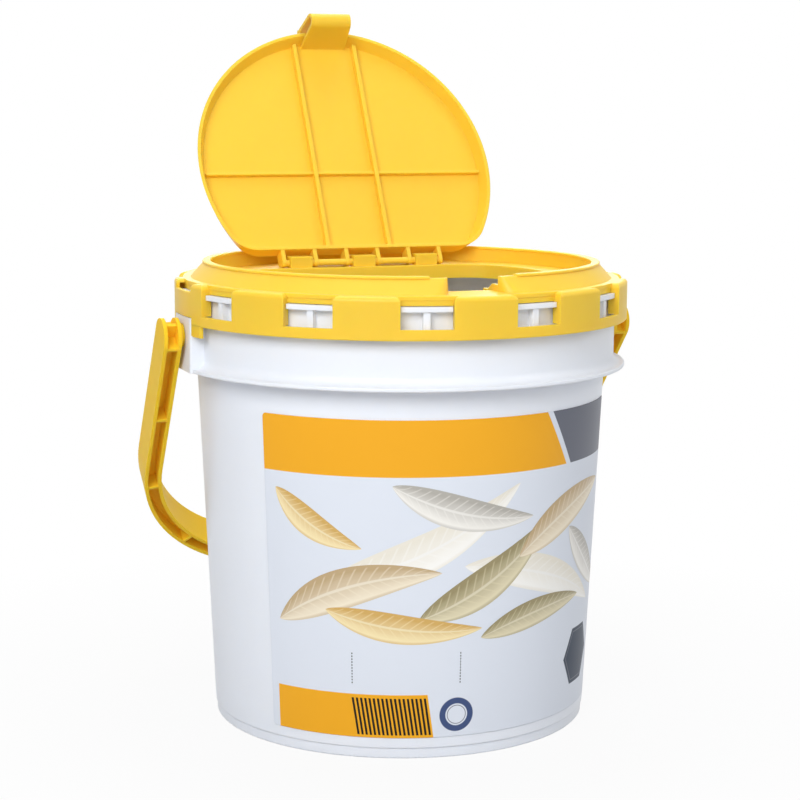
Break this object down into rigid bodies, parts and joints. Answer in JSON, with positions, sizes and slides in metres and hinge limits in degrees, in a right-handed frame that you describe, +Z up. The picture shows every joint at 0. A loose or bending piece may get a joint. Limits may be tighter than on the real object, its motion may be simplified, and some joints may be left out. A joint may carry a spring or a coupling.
{
  "type": "bait bucket",
  "caption": "Tapered pail with a removable lid ring, a hinged hatch door with a spring latch, a swinging bail handle and a printed wrap label.",
  "frame": {"origin": "middle of the pail's underside, on the surface that it stands on", "axes": "+Z up along the pail's axis, -Y towards the latch and the label (front), +X towards the right-hand bail ear seen from the front"},
  "size_m": [0.2804, 0.2784, 0.4002],
  "materials": {
    "pail_plastic": "satin moulded polypropylene, faintly bluish white",
    "label_film": "printed film, warm orange",
    "lid_plastic": "satin moulded polyethylene, golden yellow",
    "bail_plastic": "satin moulded polypropylene, deeper golden yellow"
  },
  "bodies": {
    "pail": {"pail": "pail_plastic", "wrap_label": "label_film"},
    "lid": {"lid_ring": "lid_plastic", "lid_legs": "lid_plastic"},
    "hatch": {"hatch": "lid_plastic"},
    "bail": {"bail": "bail_plastic"}
  },
  "joints": [
    {"name": "lid_lift", "type": "slide", "parent": "pail", "child": "lid", "axis": [0, 0, 1], "range_m": [0, 0.06]},
    {"name": "hatch_hinge", "type": "hinge", "parent": "lid", "child": "hatch", "pos_m": [0, 0.066, 0.2526], "axis": [1, 0, 0], "range_deg": [0, 119.5]},
    {"name": "bail_swing", "type": "hinge", "parent": "pail", "child": "bail", "pos_m": [0, 0, 0.2205], "axis": [1, 0, 0], "range_deg": [0, 87]}
  ]
}
